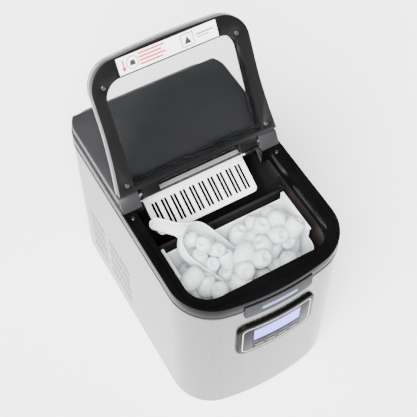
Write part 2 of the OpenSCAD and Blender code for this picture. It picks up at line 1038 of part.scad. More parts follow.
module ice_shovel() {
    color(white_colour)
        shovel_place()
            difference() {
                union() {
                    translate([0, 0, -shovel_t / 2])
                        linear_extrude(shovel_t)
                            bay2d(shovel_hw, -shovel_l, 0, shovel_corner_r);
                    x_cylinder(-shovel_hw, shovel_hw, 0, 0, shovel_barrel_r);
                    x_cylinder(-tank_hw + 2, tank_hw - 2, 0, 0, shovel_pin_r);
                    for (side = [-1, 1])
                        box([side > 0 ? shovel_hw - 2 : -shovel_hw, -shovel_l + 6, -8],
                            [side > 0 ? shovel_hw : -shovel_hw + 2, -4, 0]);
                }
                for (i = [0:slot_pairs - 1], k = [-1, 1])
                    translate([
                            (i - (slot_pairs - 1) / 2) * slot_pitch + k * (slot_w + slot_bar) / 2,
                            -slot_from_pivot - slot_l / 2,
                            -10,
                        ])
                        linear_extrude(20)
                            slot2d(slot_l, slot_w);
            }
}

module water_tray() {
    color("#2c2c2e")
        difference() {
            union() {
                box([-tray_hw, tray_front, tray_z], [tray_hw, tray_back, tray_top]);
                x_cylinder(-tray_hw, tray_hw, tray_axis_y, tray_axis_z, 5);
                x_cylinder(-tank_hw + 2, tank_hw + tank_wall + 8, tray_axis_y, tray_axis_z,
                    tray_pin_r);
            }
            box([-tray_hw + tray_wall, tray_front + tray_wall, tray_z + tray_wall],
                [tray_hw - tray_wall, tray_back - tray_wall, tray_top + 5]);
        }
}

module tray_motor() {
    color("#c4c4c0")
        difference() {
            box([motor_x, tray_axis_y - 17, tray_axis_z - 15],
                [motor_x + motor_size[0], tray_axis_y - 17 + motor_size[1],
                    tray_axis_z - 15 + motor_size[2]]);
            x_cylinder(0, motor_x + 8, tray_axis_y, tray_axis_z, tray_pin_r + pin_gap);
        }
}

module motor_bracket() {
    color("#a8a8a8")
        difference() {
            box([tank_hw + tank_wall, tray_axis_y - 26, tray_axis_z - 20],
                [motor_x, tray_axis_y + 24, tray_axis_z + 20]);
            x_cylinder(0, hw, tray_axis_y, tray_axis_z, tray_pin_r + 1);
            for (y = [-21, 20])
                x_cylinder(0, hw, tray_axis_y + y, tray_axis_z, 1.6);
        }
}

module evaporator_tube() {
    r = tube_r;
    left = -70;
    color(copper_colour) {
        bent_tube([
            [lead_x(tube_y[0]), tank_back + 12, tube_z],
            [lead_x(tube_y[0]), tube_y[0], tube_z],
            [left, tube_y[0], tube_z],
            [left, tube_y[1], tube_z],
            [lead_x(tube_y[1]), tube_y[1], tube_z],
            [lead_x(tube_y[1]), tank_back + 12, tube_z],
        ], r, 2 * r);
    }
}

function finger_points() = concat(
    [for (i = [-2:2]) [i * finger_pitch, tube_y[0]]],
    [for (i = [-1.5:1.5]) [i * finger_pitch, tube_y[1]]]
);

module freezing_fingers() {
    color("#c9cdd0")
        difference() {
            for (p = finger_points())
                translate([p[0], p[1], tube_z - tube_r - finger_len + finger_r]) {
                    cylinder(h = finger_len - finger_r + 3, r = finger_r);
                    sphere(finger_r, $fn = 48);
                }
            for (y = tube_y)
                x_cylinder(-hw, hw, y, tube_z, tube_r);
        }
}

module evaporator_cover() {
    color("#39393b")
        difference() {
            union() {
                box([-tank_hw, rail_y[1], cover_plate_z],
                    [tank_hw, tank_back, cover_plate_z + 2.5]);
                for (x = [-45, 45], y = tube_y)
                    translate([x, y, tube_z])
                        cylinder(h = cover_plate_z - tube_z + eps, r = 4);
            }
            for (y = tube_y)
                x_cylinder(-hw, hw, y, tube_z, tube_r);
        }
}

module splash_rail() {
    color("#3c3c3e")
        box([-tank_hw, rail_y[0], rail_z[0]], [tank_hw, rail_y[1], rail_z[1] - 2]);
}

module rail_strip() {
    color("#b4b4b4")
        box([-tank_hw, rail_y[0] + 0.5, rail_z[1] - 2], [tank_hw, rail_y[1], rail_z[1]]);
}

module ice_sensors() {
    color("#1e1e20")
        for (side = [-1, 1])
            difference() {
                box([side > 0 ? basket_hw + 3 : -tank_hw, -44, 238],
                    [side > 0 ? tank_hw : -basket_hw - 3, -28, tank_top]);
                x_cylinder(side > 0 ? basket_hw + 2 : -basket_hw - 5,
                    side > 0 ? basket_hw + 5 : -basket_hw - 2, -36, 250, 3);
            }
}

module water_level_sensor() {
    color("#b9bcc0")
        for (x = [-40, -28]) {
            y_cylinder(tank_front, tank_front + 8, x, basin_z + 35, 2.2);
            y_cylinder(tank_front, tank_front + 2, x, basin_z + 35, 4);
        }
}

// ---------- Machinery ----------

module compressor() {
    h = compressor_h;
    r = compressor_r;
    dome = 14;
    color("#1b1b1d")
        difference() {
            union() {
                translate([comp_x, comp_y, comp_z])
                    rotate_extrude($fn = 96)
                        polygon(concat(
                            [[0, 0], [r - dome, 0]],
                            [for (a = [-80:10:0]) [r - dome + dome * cos(a), dome + dome * sin(a)]],
                            [for (a = [0:10:80]) [r - dome + dome * cos(a), h - dome + dome * sin(a)]],
                            [[r - dome, h], [0, h]]
                        ));
                translate([comp_x, comp_y, comp_z - 4])
                    linear_extrude(4)
                        difference() {
                            round_rect(2 * r - 4, 2 * r - 4, 8);
                            for (x = [-1, 1], y = [-1, 1])
                                translate([x * (r - 10), y * (r - 10)])
                                    circle(3.5);
                        }
                box([comp_x - 14, comp_y - r - 9, comp_z + 40],
                    [comp_x + 14, comp_y - r + 12, comp_z + 76]);
            }
            y_cylinder(comp_y - r - 10, comp_y - r - 5, comp_x, comp_z + 58, 3);
        }
}

module compressor_grommets() {
    color("#3a3a3a")
        for (x = [-1, 1], y = [-1, 1])
            translate([comp_x + x * (compressor_r - 10), comp_y + y * (compressor_r - 10), 0]) {
                translate([0, 0, machine_z])
                    cylinder(h = comp_z - 4 - machine_z, r = 7);
                translate([0, 0, machine_z])
                    cylinder(h = comp_z + 3 - machine_z, r = 3.5);
            }
}

module condenser() {
    fin_t = 0.8;
    fin_pitch = 4.2;
    color("#b9bcbe") {
        for (y = [cond_y[0]:fin_pitch:cond_y[1] - fin_t])
            box([cond_x[0], y, cond_z[0]], [cond_x[1], y + fin_t, cond_z[1]]);
        for (z = [cond_z[0] + 14:20:cond_z[1] - 8])
            y_cylinder(cond_y[0] - 1, cond_y[1] + 1, (cond_x[0] + cond_x[1]) / 2, z, 4);
        box([cond_x[0] + 6, cond_y[0] + 20, pan_top], [cond_x[1] - 6, cond_y[0] + 30, cond_z[0] + 2]);
        box([cond_x[0] + 6, cond_y[1] - 30, pan_top], [cond_x[1] - 6, cond_y[1] - 20, cond_z[0] + 2]);
    }
}

module fan_shroud() {
    color("#2a2a2c")
        difference() {
            union() {
                box([shroud_x, cond_y[0] + 2, pan_top],
                    [shroud_x + shroud_t, cond_y[1] - 2, cond_z[1]]);
                x_cylinder(shroud_x, shroud_x + 14, fan_y, fan_z, fan_r + 4);
                for (side = [-1, 1])
                    box([shroud_x + shroud_t - eps, fan_y + side * (fan_r + 6) - 3, fan_z - 4],
                        [shroud_x + 34, fan_y + side * (fan_r + 6) + 3, fan_z + 4]);
            }
            x_cylinder(shroud_x - 1, shroud_x + 20, fan_y, fan_z, fan_r + 2);
            box([shroud_x - 1, foot_y() - 5, 0], [shroud_x + 5, foot_y() + 5, pan_top + 5]);
        }
}

module fan_motor() {
    x0 = shroud_x + 24;
    color("#55575a")
        difference() {
            union() {
                x_cylinder(x0, x0 + 20, fan_y, fan_z, 16);
                box([shroud_x + 34, fan_y - fan_r - 9, fan_z - 4],
                    [shroud_x + 36.5, fan_y + fan_r + 9, fan_z + 4]);
            }
            x_cylinder(x0 - 1, x0 + 12, fan_y, fan_z, shaft_r + pin_gap);
        }
}

module fan_rotor() {
    blades = 5;
    hub_r = 13;
    x0 = shroud_x + 5;
    color("#1f1f21")
        translate([x0, fan_y, fan_z])
            rotate([0, 90, 0])
                union() {
                    cylinder(h = 12, r = hub_r);
                    cylinder(h = 28, r = shaft_r);
                    for (i = [0:blades - 1])
                        rotate([0, 0, i * 360 / blades])
                            intersection() {
                                cylinder(h = 12, r = fan_r, $fn = 96);
                                translate([hub_r - 3, 0, 6])
                                    rotate([32, 0, 0])
                                        translate([0, -14, -0.8])
                                            cube([fan_r, 28, 1.6]);
                            }
                }
}

module filter_drier() {
    color(copper_colour)
        translate(drier_at)
            rotate_extrude($fn = 64)
                polygon([
                    [0, -28], [2.4, -28], [2.4, -18], [9, -8], [9, 24], [2.4, 34], [2.4, 42], [0, 42],
                ]);
}

module hot_gas_valve() {
    color("#8d8f94") {
        box(valve_lo, [valve_hi[0], valve_hi[1], valve_lo[2] + 30]);
        box([valve_lo[0] + 2, valve_lo[1] + 2, valve_lo[2] + 30 - eps],
            [valve_hi[0] - 2, valve_hi[1] - 2, valve_hi[2]]);
    }
}

module refrigerant_pipes() {
    r = 2.4;
    cx = (cond_x[0] + cond_x[1]) / 2;
    hot_z = comp_z + compressor_h * 0.55;
    top_z = comp_z + compressor_h - 24;
    shell_y = sqrt(pow(compressor_r, 2) - pow(lead_x(tube_y[1]) - comp_x, 2));
    valve_x = (valve_lo[0] + valve_hi[0]) / 2;
    valve_y = (valve_lo[1] + valve_hi[1]) / 2;
    color(copper_colour) {
        bent_tube([
            [comp_x - compressor_r, comp_y, hot_z],
            [comp_x - compressor_r - 14, comp_y, hot_z],
            [comp_x - compressor_r - 14, cond_y[1] + 12, hot_z],
            [cx, cond_y[1] + 12, hot_z],
            [cx, cond_y[1] + 12, cond_z[1] - 22],
            [cx, cond_y[1] + 1, cond_z[1] - 22],
        ], r, 2 * r);
        bent_tube([
            [cx, cond_y[0] - 1, cond_z[0] + 14],
            [cx, cond_y[0] - 10, cond_z[0] + 14],
            [drier_at[0], cond_y[0] - 10, cond_z[0] + 14],
            [drier_at[0], cond_y[0] - 10, drier_at[2] - 34],
            [drier_at[0], drier_at[1], drier_at[2] - 34],
            [drier_at[0], drier_at[1], drier_at[2] - 28],
        ], r, 2 * r);
        bent_tube([
            [lead_x(tube_y[1]), tank_back + 12, tube_z],
            [lead_x(tube_y[1]), comp_y + compressor_r, tube_z],
            [lead_x(tube_y[1]), comp_y + compressor_r, top_z],
            [lead_x(tube_y[1]), comp_y + shell_y + 2.5, top_z],
        ], r, 2 * r);
        bent_tube([
            [lead_x(tube_y[0]), tank_back + 12, tube_z],
            [lead_x(tube_y[0]), tank_back + 22, tube_z],
            [valve_x, tank_back + 22, tube_z],
            [valve_x, tank_back + 22, valve_hi[2] + 8],
            [valve_x, valve_y, valve_hi[2] + 8],
            [valve_x, valve_y, valve_hi[2]],
        ], r, 2 * r);
    }
}

module water_pump() {
    color("#3b3d40")
        difference() {
            union() {
                translate([pump_x, pump_y, pump_base])
                    cylinder(h = volute_z[0] - pump_base + eps, r = 20);
                translate([pump_x, pump_y, volute_z[0]])
                    cylinder(h = volute_z[1] - volute_z[0], r = volute_r);
                translate([pump_x, pump_y, volute_z[1] - eps])
                    cylinder(h = 8, r = inlet_r);
                x_cylinder(pump_x - volute_r - 9, pump_x - volute_r + 3, pump_y,
                    (volute_z[0] + volute_z[1]) / 2, hose_r + 1);
            }
            translate([pump_x, pump_y, volute_z[0] + volute_wall])
                cylinder(h = volute_z[1] - volute_z[0] - 2 * volute_wall, r = volute_r - volute_wall);
            translate([pump_x, pump_y, volute_z[1] - volute_wall - 1])
                cylinder(h = 20, r = inlet_r - 2);
            translate([pump_x, pump_y, volute_z[0] - 16])
                cylinder(h = 20, r = 2 + pin_gap);
            x_cylinder(pump_x - volute_r - 10, pump_x - 5, pump_y,
                (volute_z[0] + volute_z[1]) / 2, hose_r - 1);
        }
}

module pump_impeller() {
    color("#c8cbd0")
        translate([pump_x, pump_y, volute_z[0] + volute_wall + 1]) {
            cylinder(h = 2, r = impeller_r);
            translate([0, 0, -15])
                cylinder(h = 24, r = 2);
            for (i = [0:5])
                rotate([0, 0, 60 * i])
                    translate([3, -0.8, 2 - eps])
                        cube([impeller_r - 4, 1.6, 8]);
        }
}

// Short hose end that pushes over a spigot whose end is at z
module hose_sleeve(x, y, z0, z1) {
    translate([x, y, z0])
        difference() {
            cylinder(h = z1 - z0, r = inlet_r + 1.6);
            translate([0, 0, -1])
                cylinder(h = z1 - z0 + 2, r = inlet_r);
        }
}

module water_hoses() {
    tank_floor = basin_z - tank_wall;
    spigot_end = tank_floor - 9;
    volute_mid = (volute_z[0] + volute_z[1]) / 2;
    color("#d6dade") {
        hose_sleeve(pump_x, pump_y, volute_z[1] + 0.5, tank_floor - 0.5);
        bent_tube([
            [pump_x - volute_r - 9, pump_y, volute_mid],
            [hose_x, pump_y, volute_mid],
            [hose_x, pump_y, hose_z],
            [hose_x, hose_back_y, hose_z],
            [-68, hose_back_y, hose_z],
        ], hose_r, 2 * hose_r);
        hose_sleeve(drain_tank[0], drain_tank[1], spigot_end, tank_floor - 0.5);
        translate([drain_tank[0], drain_tank[1], spigot_end - 3])
            cylinder(h = 3, r = inlet_r + 1.6);
        bent_tube([
            [drain_tank[0], drain_tank[1], spigot_end - 3],
            [drain_tank[0], drain_tank[1], drain_z],
            [drain_tank[0], hd - 22, drain_z],
            [drain_x, hd - 22, drain_z],
            [drain_x, hd - 12, drain_z],
        ], drain_r, 1.6 * drain_r);
        difference() {
            y_cylinder(hd - 12, hd - sheet - 1.2, drain_x, drain_z, drain_r + 2);
            y_cylinder(hd - 11.5, hd + 1, drain_x, drain_z, drain_r - 0.2);
        }
    }
}

module drain_plug() {
    color("#1d1d1f")
        union() {
            y_cylinder(hd - 11, hd + 1.6, drain_x, drain_z, plug_r);
            y_cylinder(hd + 1.6, hd + 3.6, drain_x, drain_z, plug_head_r);
            box([drain_x - 1.5, hd + 3, drain_z - 7], [drain_x + 1.5, hd + 5, drain_z + 7]);
        }
}

module drain_seal() {
    color("#7a1f1f")
        difference() {
            y_cylinder(hd - sheet, hd + 1.2, drain_x, drain_z, plug_head_r);
            y_cylinder(hd - 9, hd + 9, drain_x, drain_z, plug_r + 0.4);
        }
}

module circuit_board() {
    z0 = box_lo[2] + box_wall + 5;
    color("#2f6b3c") {
        box([box_lo[0] + 6, box_lo[1] + 6, z0],
            [box_lo[0] + box_size[0] - 6, box_lo[1] + box_size[1] - 6, z0 + 1.6]);
        for (p = [[14, 14, 20, 16, 18], [50, 14, 24, 20, 14], [16, 44, 30, 24, 8], [60, 50, 18, 14, 20]])
            box([box_lo[0] + p[0], box_lo[1] + p[1], z0 + 1.6 - eps],
                [box_lo[0] + p[0] + p[2], box_lo[1] + p[1] + p[3], z0 + 1.6 + p[4]]);
        for (x = [12, box_size[0] - 12], y = [12, box_size[1] - 12])
            translate([box_lo[0] + x, box_lo[1] + y, box_lo[2] + box_wall])
                cylinder(h = 5 + eps, r = 3);
    }
}

module board_box() {
    color("#303033")
        difference() {
            box(box_lo, box_lo + box_size);
            box([for (i = [0:2]) box_lo[i] + box_wall],
                [for (i = [0:2]) box_lo[i] + box_size[i] - box_wall]);
            for (y = [20:10:64])
                translate([box_lo[0] + box_size[0] / 2, box_lo[1] + y, box_lo[2] + box_size[2] - 5])
                    rotate([0, 0, 90])
                        linear_extrude(10)
                            slot2d(60, 3);
        }
}

module mains_inlet() {
    s = inlet_size;
    y0 = hd - 26;
    color("#18181a")
        difference() {
            union() {
                box([inlet_x - s[0] / 2, y0, inlet_z - s[1] / 2],
                    [inlet_x + s[0] / 2, hd, inlet_z + s[1] / 2]);
                box([inlet_x - s[0] / 2 - 5, hd - sheet, inlet_z - s[1] / 2 - 4],
                    [inlet_x + s[0] / 2 + 5, hd + 2, inlet_z + s[1] / 2 + 4]);
            }
            box([inlet_x - 12.5, hd - 18, inlet_z - 9], [inlet_x + 12.5, hd + 5, inlet_z + 9]);
        }
    color("#c9b37a")
        for (p = [[-7, -2], [0, 2], [7, -2]])
            box([inlet_x + p[0] - 1, hd - 18 - eps, inlet_z + p[1] - 2.5],
                [inlet_x + p[0] + 1, hd - 2, inlet_z + p[1] + 2.5]);
}

base_pan();
rubber_feet();
outer_casing();
rear_panel();
top_frame();
frame_trim();
rear_top_cover();
cover_trim();
hinge_pins();
lid_outer_shell();
lid_inner_frame();
lid_window();
lid_trim();
lid_screws();
lid_label();
panel_housing();
panel_border();
lcd_display();
display_board();
button(0);  // button_1
button(1);  // button_2
button(2);  // button_3
button(3);  // button_4
badge_strip();
badge_light();
inner_tank();
tank_divider();
tank_insulation();
ice_basket();
ice_scoop();
ice_shovel();
water_tray();
tray_motor();
motor_bracket();
evaporator_tube();
freezing_fingers();
evaporator_cover();
splash_rail();
rail_strip();
compressor();
compressor_grommets();
condenser();
fan_shroud();
fan_motor();
fan_rotor();
filter_drier();
refrigerant_pipes();
hot_gas_valve();
water_pump();
pump_impeller();
water_hoses();
drain_plug();
drain_seal();
circuit_board();
board_box();
mains_inlet();
ice_sensors();
water_level_sensor();
frame_screws();
casing_screws();
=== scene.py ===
"""A countertop ice maker with its lid open, its basket full of ice and the scoop lying in it."""

import json
import math
import random

import bpy
from mathutils import Matrix, Vector

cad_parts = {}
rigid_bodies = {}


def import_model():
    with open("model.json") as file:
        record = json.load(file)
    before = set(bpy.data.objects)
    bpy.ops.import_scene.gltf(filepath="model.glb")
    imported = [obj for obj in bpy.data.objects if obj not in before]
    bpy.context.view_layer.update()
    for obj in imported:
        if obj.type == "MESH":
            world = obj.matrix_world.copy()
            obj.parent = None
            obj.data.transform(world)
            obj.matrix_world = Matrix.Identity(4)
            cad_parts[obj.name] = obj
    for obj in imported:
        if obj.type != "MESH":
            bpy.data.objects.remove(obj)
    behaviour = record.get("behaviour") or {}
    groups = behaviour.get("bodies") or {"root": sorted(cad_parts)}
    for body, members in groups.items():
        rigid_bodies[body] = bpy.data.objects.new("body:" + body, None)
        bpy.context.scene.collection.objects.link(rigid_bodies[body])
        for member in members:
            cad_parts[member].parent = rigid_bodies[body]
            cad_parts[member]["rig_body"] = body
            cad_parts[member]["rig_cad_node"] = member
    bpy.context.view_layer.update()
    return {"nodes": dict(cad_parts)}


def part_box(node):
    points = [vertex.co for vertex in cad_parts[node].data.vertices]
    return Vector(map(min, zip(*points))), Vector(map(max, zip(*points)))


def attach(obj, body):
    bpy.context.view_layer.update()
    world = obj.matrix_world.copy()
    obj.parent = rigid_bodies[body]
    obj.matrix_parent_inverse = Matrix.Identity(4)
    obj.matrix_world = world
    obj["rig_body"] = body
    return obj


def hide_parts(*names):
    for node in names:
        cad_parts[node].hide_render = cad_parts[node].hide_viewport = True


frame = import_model()
nodes = frame["nodes"]
bpy.ops.object.select_all(action="DESELECT")


# ---------- Camera ----------
# A long lens looks down into the open top from the front left, far enough away that the
# upright edges of the body nearly stay parallel.

camera_data = bpy.data.cameras.new("camera")
camera_data.lens = 81.2
camera_data.sensor_width = 36
camera = bpy.data.objects.new("camera", camera_data)
bpy.context.scene.collection.objects.link(camera)
camera_right = Vector((0.86720, -0.49793, 0.00472))
camera_up = Vector((0.40994, 0.71929, 0.56086))
camera_back = Vector((-0.28268, -0.48445, 0.82789))
camera.matrix_world = Matrix.Translation((-0.3665, -0.6376, 1.3055)) @ Matrix(
    (camera_right, camera_up, camera_back)
).transposed().to_4x4()
bpy.context.scene.camera = camera


# ---------- Studio ----------
# A white floor under one very wide lamp at the front left, with a soft box at the left.
# Nothing bright stands where the black plastic would mirror it.

white_room = bpy.data.worlds.new("white_room")
white_room.use_nodes = True
white_room.node_tree.nodes["Background"].inputs["Color"].default_value = (1.0, 1.0, 1.0, 1.0)
white_room.node_tree.nodes["Background"].inputs["Strength"].default_value = 0.3
bpy.context.scene.world = white_room

SOFT_BOXES = {
    "left": ((-1.8, 0.1, 1.2), (1.0, 1.4), 14.0),
}
body_middle = Vector((0.0, 0.0, 0.16))
for name, (place, size, watts) in SOFT_BOXES.items():
    soft_box = bpy.data.lights.new(name, "AREA")
    soft_box.shape = "RECTANGLE"
    soft_box.size, soft_box.size_y = size
    soft_box.energy = watts
    lamp = bpy.data.objects.new(name, soft_box)
    lamp.location = place
    lamp.rotation_euler = (body_middle - Vector(place)).to_track_quat("-Z", "Y").to_euler()
    bpy.context.scene.collection.objects.link(lamp)

sky_light = bpy.data.lights.new("sky", "SUN")
sky_light.angle = math.radians(50)
sky_light.energy = 19.0
sky = bpy.data.objects.new("sky", sky_light)
sky.rotation_euler = Vector((0.62, 0.66, -1.05)).to_track_quat("-Z", "Y").to_euler()
bpy.context.scene.collection.objects.link(sky)


def linear(code):
    """The linear colour that a socket takes for an sRGB hex value."""
    channels = [int(code[i : i + 2], 16) / 255 for i in (1, 3, 5)]
    curve = [c / 12.92 if c <= 0.04045 else ((c + 0.055) / 1.055) ** 2.4 for c in channels]
    return (*curve, 1.0)


def add_node(tree, kind, settings, links):
    """Adds one node: settings fill its properties and sockets, links feed sockets from outputs."""
    node = tree.nodes.new(kind)
    for key, value in settings.items():
        if key == "stops":
            ramp = node.color_ramp.elements
            for element, (at, code) in zip(ramp, value):
                element.position = at
                element.color = linear(code)
        elif key in node.inputs:
            node.inputs[key].default_value = value
        else:
            setattr(node, key, value)
    for key, output in links.items():
        tree.links.new(output, node.inputs[key])
    return node


def new_material(name):
    """An empty material with its output, and the object's own coordinates in metres."""
    material = bpy.data.materials.new(name)
    material.use_nodes = True
    tree = material.node_tree
    tree.nodes.clear()
    output = add_node(tree, "ShaderNodeOutputMaterial", {}, {})
    place = add_node(tree, "ShaderNodeTexCoord", {}, {}).outputs["Object"]
    return material, tree, output, place


def mottled_finish(name, dark, light, patch_mm, grain_mm, grain_depth, shader):
    """A finish whose colour drifts between two close tones in patches, over a fine surface grain.
    shader holds the constant sockets of its Principled shader."""
    material, tree, output, place = new_material(name)
    patches = add_node(
        tree, "ShaderNodeTexNoise", {"Scale": 1000 / patch_mm, "Detail": 3.0}, {"Vector": place}
    )
    tone = add_node(
        tree,
        "ShaderNodeValToRGB",
        {"stops": [(0.3, dark), (0.7, light)]},
        {"Fac": patches.outputs["Fac"]},
    )
    grain = add_node(
        tree, "ShaderNodeTexNoise", {"Scale": 1000 / grain_mm, "Detail": 2.0}, {"Vector": place}
    )
    bump = add_node(
        tree,
        "ShaderNodeBump",
        {"Strength": grain_depth, "Distance": 0.0002},
        {"Height": grain.outputs["Fac"]},
    )
    surface = add_node(
        tree,
        "ShaderNodeBsdfPrincipled",
        shader,
        {"Base Color": tone.outputs["Color"], "Normal": bump.outputs["Normal"]},
    )
    tree.links.new(surface.outputs["BSDF"], output.inputs["Surface"])
    return material


def cover(piece, material):
    """Gives a piece, or a CAD node by name, one material."""
    piece = nodes[piece] if isinstance(piece, str) else piece
    piece.data.materials.clear()
    piece.data.materials.append(material)


# Matt white board with a faint unevenness, so the floor keeps a soft shadow
floor_board = mottled_finish(
    "matt_white_board", "#f6f6f6", "#fafafa", 400, 3, 0.02, {"Roughness": 0.9}
)
bpy.ops.mesh.primitive_plane_add(size=12.0, location=(0, 0, 0))
floor = bpy.context.object
floor.name = "floor"
cover(floor, floor_board)


def finished_copy(node, edge_mm, crease_deg=32):
    """A CAD node's shape with its corners rounded as a mould or a press leaves them."""
    source = nodes[node]
    piece = source.copy()
    piece.data = source.data.copy()
    piece.name = node + "_finished"
    piece.parent = None
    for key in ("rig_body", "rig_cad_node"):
        if key in piece:
            del piece[key]
    bpy.context.scene.collection.objects.link(piece)
    bpy.ops.object.select_all(action="DESELECT")
    piece.select_set(True)
    bpy.context.view_layer.objects.active = piece
    bpy.ops.object.mode_set(mode="EDIT")
    bpy.ops.mesh.select_all(action="SELECT")
    bpy.ops.mesh.remove_doubles(threshold=0.00002)
    bpy.ops.mesh.dissolve_limited(angle_limit=math.radians(0.6))
    bpy.ops.object.mode_set(mode="OBJECT")
    # Faces with an opening in them are cut up first, so that rounding can't close the opening
    cut_up = piece.modifiers.new("cut_up", "TRIANGULATE")
    cut_up.min_vertices = 9
    bpy.ops.object.modifier_apply(modifier="cut_up")
    bevel = piece.modifiers.new("edges", "BEVEL")
    bevel.width = edge_mm / 1000
    bevel.segments = 3
    bevel.limit_method = "ANGLE"
    bevel.angle_limit = math.radians(crease_deg)
    bpy.ops.object.modifier_apply(modifier="edges")
    bpy.ops.object.shade_smooth_by_angle(angle=math.radians(crease_deg))
    piece.select_set(False)
    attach(piece, source["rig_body"])
    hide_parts(node)
    return piece


# ---------- Pan and feet ----------
# The floor pan is pressed from galvanised sheet. Four moulded rubber feet push up through it
# and carry the weight.

galvanised_sheet = mottled_finish(
    "galvanised_sheet", "#a9adb0", "#c3c6c8", 9, 1.2, 0.08, {"Metallic": 1.0, "Roughness": 0.45}
)
moulded_rubber = mottled_finish(
    "moulded_rubber", "#1b1b1b", "#232323", 15, 0.7, 0.3, {"Roughness": 0.8, "IOR": 1.52}
)
cover("base_pan", galvanised_sheet)
cover("rubber_feet", moulded_rubber)


# ---------- Steel casing ----------
# One wrapped sheet of stainless steel, brushed upright with a fine belt: long faint streaks
# that stretch every reflection sideways.


def brushed_steel(name, dark, light, roughness, streak):
    """Stainless sheet whose brushing runs along the axis with the smallest streak scale."""
    material, tree, output, place = new_material(name)
    along = add_node(tree, "ShaderNodeMapping", {"Scale": streak}, {"Vector": place})
    streaks = add_node(
        tree,
        "ShaderNodeTexNoise",
        {"Scale": 1.0, "Detail": 4.0, "Roughness": 0.6},
        {"Vector": along.outputs["Vector"]},
    )
    tone = add_node(
        tree,
        "ShaderNodeValToRGB",
        {"stops": [(0.25, dark), (0.75, light)]},
        {"Fac": streaks.outputs["Fac"]},
    )
    gloss = add_node(
        tree,
        "ShaderNodeMapRange",
        {"To Min": roughness - 0.05, "To Max": roughness + 0.06},
        {"Value": streaks.outputs["Fac"]},
    )
    bump = add_node(
        tree,
        "ShaderNodeBump",
        {"Strength": 0.12, "Distance": 0.0001},
        {"Height": streaks.outputs["Fac"]},
    )
    surface = add_node(
        tree,
        "ShaderNodeBsdfPrincipled",
        {"Metallic": 1.0, "Anisotropic": 0.4},
        {
            "Base Color": tone.outputs["Color"],
            "Roughness": gloss.outputs["Result"],
            "Normal": bump.outputs["Normal"],
        },
    )
    tree.links.new(surface.outputs["BSDF"], output.inputs["Surface"])
    return material


# Streaks 0.8 mm wide and 60 mm long: coarser than a real belt leaves, so that they show
casing_steel = brushed_steel(
    "brushed_stainless_steel", "#666665", "#828281", 0.28, (1250.0, 1250.0, 16.0)
)
cover("outer_casing", casing_steel)


# ---------- Back panel ----------
# A flat steel sheet with a baked grey coat closes the back. The mains inlet, the drain and
# its rubber plug sit low down in it.

baked_grey = mottled_finish(
    "baked_grey_enamel", "#87888a", "#8f9092", 30, 0.8, 0.2, {"Roughness": 0.5, "IOR": 1.5}
)
inlet_plastic = mottled_finish(
    "black_nylon", "#141415", "#1a1a1b", 20, 0.5, 0.1, {"Roughness": 0.45, "IOR": 1.53}
)
red_rubber = mottled_finish(
    "red_silicone_rubber", "#6e1a1a", "#7f2222", 10, 0.6, 0.1, {"Roughness": 0.6, "IOR": 1.41}
)
cover("rear_panel", baked_grey)
cover("mains_inlet", inlet_plastic)
cover("drain_plug", moulded_rubber)
cover("drain_seal", red_rubber)


# ---------- Top frame ----------
# The black frame is one ABS moulding, polished in the mould. It caps the steel and holds the
# lid's seat. A line of the same black plastic hides the top edge of the sheet; its grey colour is
# a painted reflection of its glossy side.

gloss_black_abs = mottled_finish(
    "polished_black_abs",
    "#050505",
    "#080809",
    60,
    14,
    0.02,
    {"Roughness": 0.2, "IOR": 1.5, "Specular IOR Level": 0.05},
)
# Painted reflection: the trim is glossy black plastic, coloured grey to stand in for the light its side
# mirrors
painted_reflection_grey_abs = mottled_finish(
    "black_abs_with_painted_reflection", "#303133", "#38393b", 40, 0.6, 0.08, {"Roughness": 0.35, "Specular IOR Level": 0.15}
)
top_frame = finished_copy("top_frame", 1.0)
cover(top_frame, gloss_black_abs)
cover("frame_trim", painted_reflection_grey_abs)


# ---------- Rear cover ----------
# A satin charcoal ABS moulding closes the machinery behind the lid, and its two cheeks hold
# the hinge pins. A bright printed line runs round its foot.

charcoal_abs = mottled_finish(
    "satin_charcoal_abs",
    "#252527",
    "#29292b",
    50,
    0.4,
    0.015,
    {"Roughness": 0.36, "IOR": 1.5, "Specular IOR Level": 0.2},
)
bright_foil = mottled_finish(
    "bright_foil", "#c9cacb", "#dcdcdc", 20, 2, 0.02, {"Metallic": 1.0, "Roughness": 0.2}
)
pin_steel = brushed_steel("turned_steel", "#8f8f8f", "#a6a6a6", 0.3, (20.0, 900.0, 900.0))
rear_cover = finished_copy("rear_top_cover", 1.2)
cover(rear_cover, charcoal_abs)
cover("cover_trim", bright_foil)
cover("hinge_pins", pin_steel)


# ---------- Lid ----------
# A black inner frame and a charcoal outer shell clamp the window between them, with a bright
# edge strip all round. It stands open past upright on its two barrels.

lid_black_abs = mottled_finish(
    "satin_black_abs", "#050506", "#09090a", 50, 0.5, 0.08, {"Roughness": 0.34, "Specular IOR Level": 0.25}
)
window_plastic, window_tree, window_output, window_place = new_material("clear_acrylic")
window_smoke = add_node(
    window_tree, "ShaderNodeTexNoise", {"Scale": 9.0, "Detail": 1.0}, {"Vector": window_place}
)
window_tone = add_node(
    window_tree,
    "ShaderNodeValToRGB",
    {"stops": [(0.3, "#dcdee0"), (0.7, "#e6e8e9")]},
    {"Fac": window_smoke.outputs["Fac"]},
)
window_shader = add_node(
    window_tree,
    "ShaderNodeBsdfPrincipled",
    {
        "Roughness": 0.03,
        "IOR": 1.49,
        "Transmission Weight": 1.0,
    },
    {"Base Color": window_tone.outputs["Color"]},
)
window_tree.links.new(window_shader.outputs["BSDF"], window_output.inputs["Surface"])

lid_frame = finished_copy("lid_inner_frame", 0.9)
cover(lid_frame, lid_black_abs)
lid_shell = finished_copy("lid_outer_shell", 0.8)
cover(lid_shell, charcoal_abs)
cover("lid_window", window_plastic)
cover("lid_trim", bright_foil)


# ---------- Lid label ----------
# A white paper label, laminated, sits in a shallow recess of the front rail. It is printed
# with an arrow, a ring and plain bars in red and grey.

